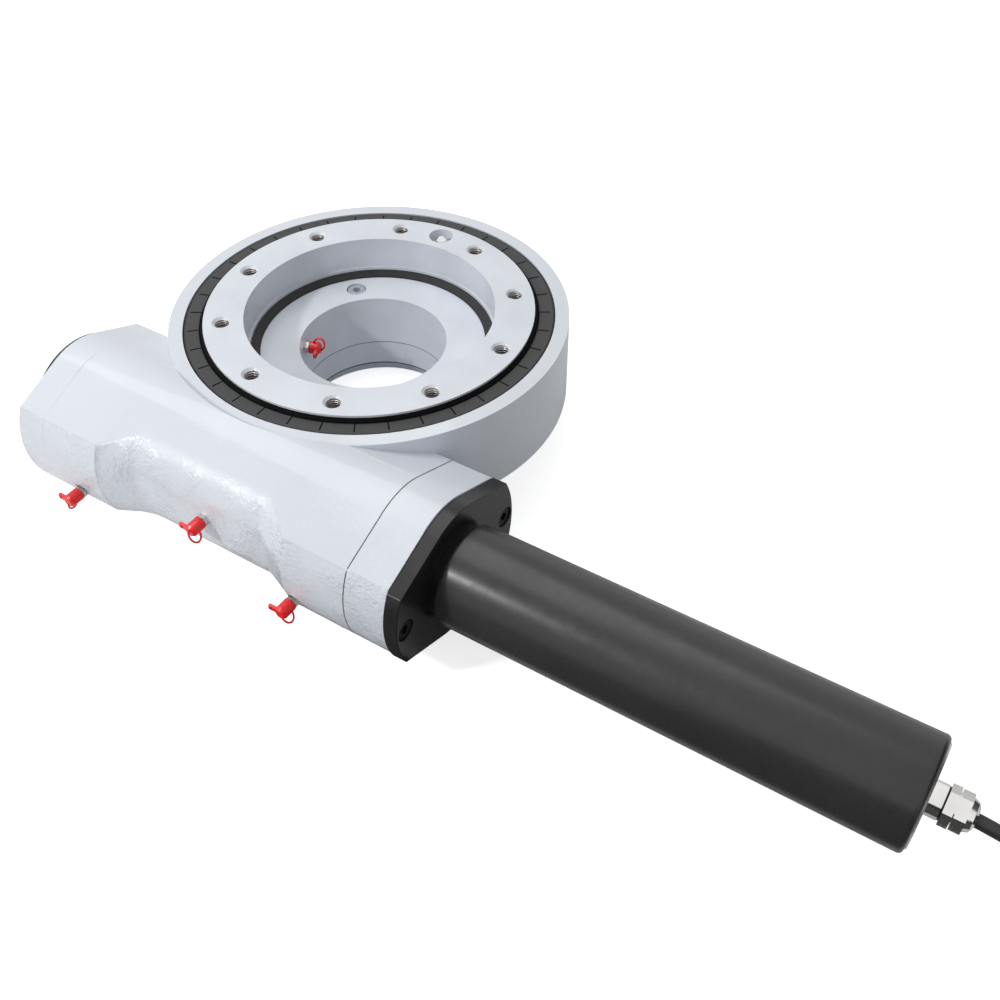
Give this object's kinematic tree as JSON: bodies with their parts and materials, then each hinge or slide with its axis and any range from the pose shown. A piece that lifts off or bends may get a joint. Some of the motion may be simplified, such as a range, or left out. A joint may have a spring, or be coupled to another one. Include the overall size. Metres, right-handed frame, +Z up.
{
  "type": "slew drive",
  "caption": "Enclosed worm slew drive with a bolt-on output ring over a ball race, end-flanged tubular gearmotor and cable",
  "frame": {"origin": "centre of the base pilot recess, in the base mounting face, on the ring axis", "axes": "+Z up out of the output ring along its axis, +X along the worm towards the motor, worm on the -Y side"},
  "size_m": [0.8356, 0.3453, 0.098],
  "materials": {
    "paint": "semi-gloss pale grey enamel",
    "steel": "machined",
    "bearing_steel": "ground",
    "black_oxide": "black oxide",
    "seal": "satin nitrile",
    "nylon": "moulded",
    "black_cover": "satin black",
    "black_plate": "glossy black",
    "motor_black": "satin dark grey",
    "board": "solder mask",
    "aluminium": "turned",
    "nickel": "nickel plated",
    "zinc": "zinc plated",
    "sheath": "satin",
    "plug_black": "moulded",
    "red_cap": "moulded"
  },
  "bodies": {
    "housing": {"housing_casting": "paint", "inner_race": "paint", "end_cap": "paint", "motor_adapter": "paint", "race_plug": "paint", "lock_screw": "steel", "hub_screws": "black_oxide", "seal_inner": "seal", "seal_outer": "seal", "cup_left": "bearing_steel", "cup_right": "bearing_steel", "cover_disc": "black_cover", "cap_screws": "black_oxide", "adapter_screws": "black_oxide", "shaft_seal": "seal", "motor_plate": "black_plate", "plate_screws": "black_oxide", "gearbox": "black_plate", "motor_tube": "motor_black", "motor_can": "steel", "drive_board": "board", "motor_end": "aluminium", "gland_base": "nickel", "gland_seal": "seal", "gland_nut": "nickel", "cable": "sheath", "cable_coil": "sheath", "cable_tail": "sheath", "cable_plug": "plug_black", "plug_nut": "nickel", "front_nipples": "zinc", "front_caps": "red_cap", "bore_nipple": "zinc", "bore_cap": "red_cap"},
    "ring": {"output_ring": "paint", "ring_nipple": "nickel"},
    "ball_train": {"race_balls": "bearing_steel", "race_spacers": "nylon"},
    "worm": {"worm_shaft": "steel", "worm_nut": "steel", "motor_shaft": "steel", "shaft_key": "steel", "cone_left": "bearing_steel", "cone_right": "bearing_steel"},
    "roller_set_left": {"rollers_left": "bearing_steel", "cage_left": "steel"},
    "roller_set_right": {"rollers_right": "bearing_steel", "cage_right": "steel"}
  },
  "joints": [
    {"name": "ring_spin", "type": "hinge", "parent": "housing", "child": "ring", "pos_m": [0, 0, 0.0505], "axis": [0, 0, 1], "continuous": true},
    {"name": "ball_train_spin", "type": "hinge", "parent": "housing", "child": "ball_train", "pos_m": [0, 0, 0.0505], "axis": [0, 0, 1], "continuous": true},
    {"name": "worm_spin", "type": "hinge", "parent": "housing", "child": "worm", "pos_m": [0, -0.136, 0.0505], "axis": [1, 0, 0], "continuous": true},
    {"name": "roller_left_spin", "type": "hinge", "parent": "housing", "child": "roller_set_left", "pos_m": [0, -0.136, 0.0505], "axis": [1, 0, 0], "continuous": true},
    {"name": "roller_right_spin", "type": "hinge", "parent": "housing", "child": "roller_set_right", "pos_m": [0, -0.136, 0.0505], "axis": [1, 0, 0], "continuous": true}
  ],
  "couplings": [
    {"joint": "ball_train_spin", "follows": "ring_spin", "ratio": 0.53},
    {"joint": "worm_spin", "follows": "ring_spin", "ratio": -57},
    {"joint": "roller_left_spin", "follows": "ring_spin", "ratio": -25.35},
    {"joint": "roller_right_spin", "follows": "ring_spin", "ratio": -25.35}
  ]
}
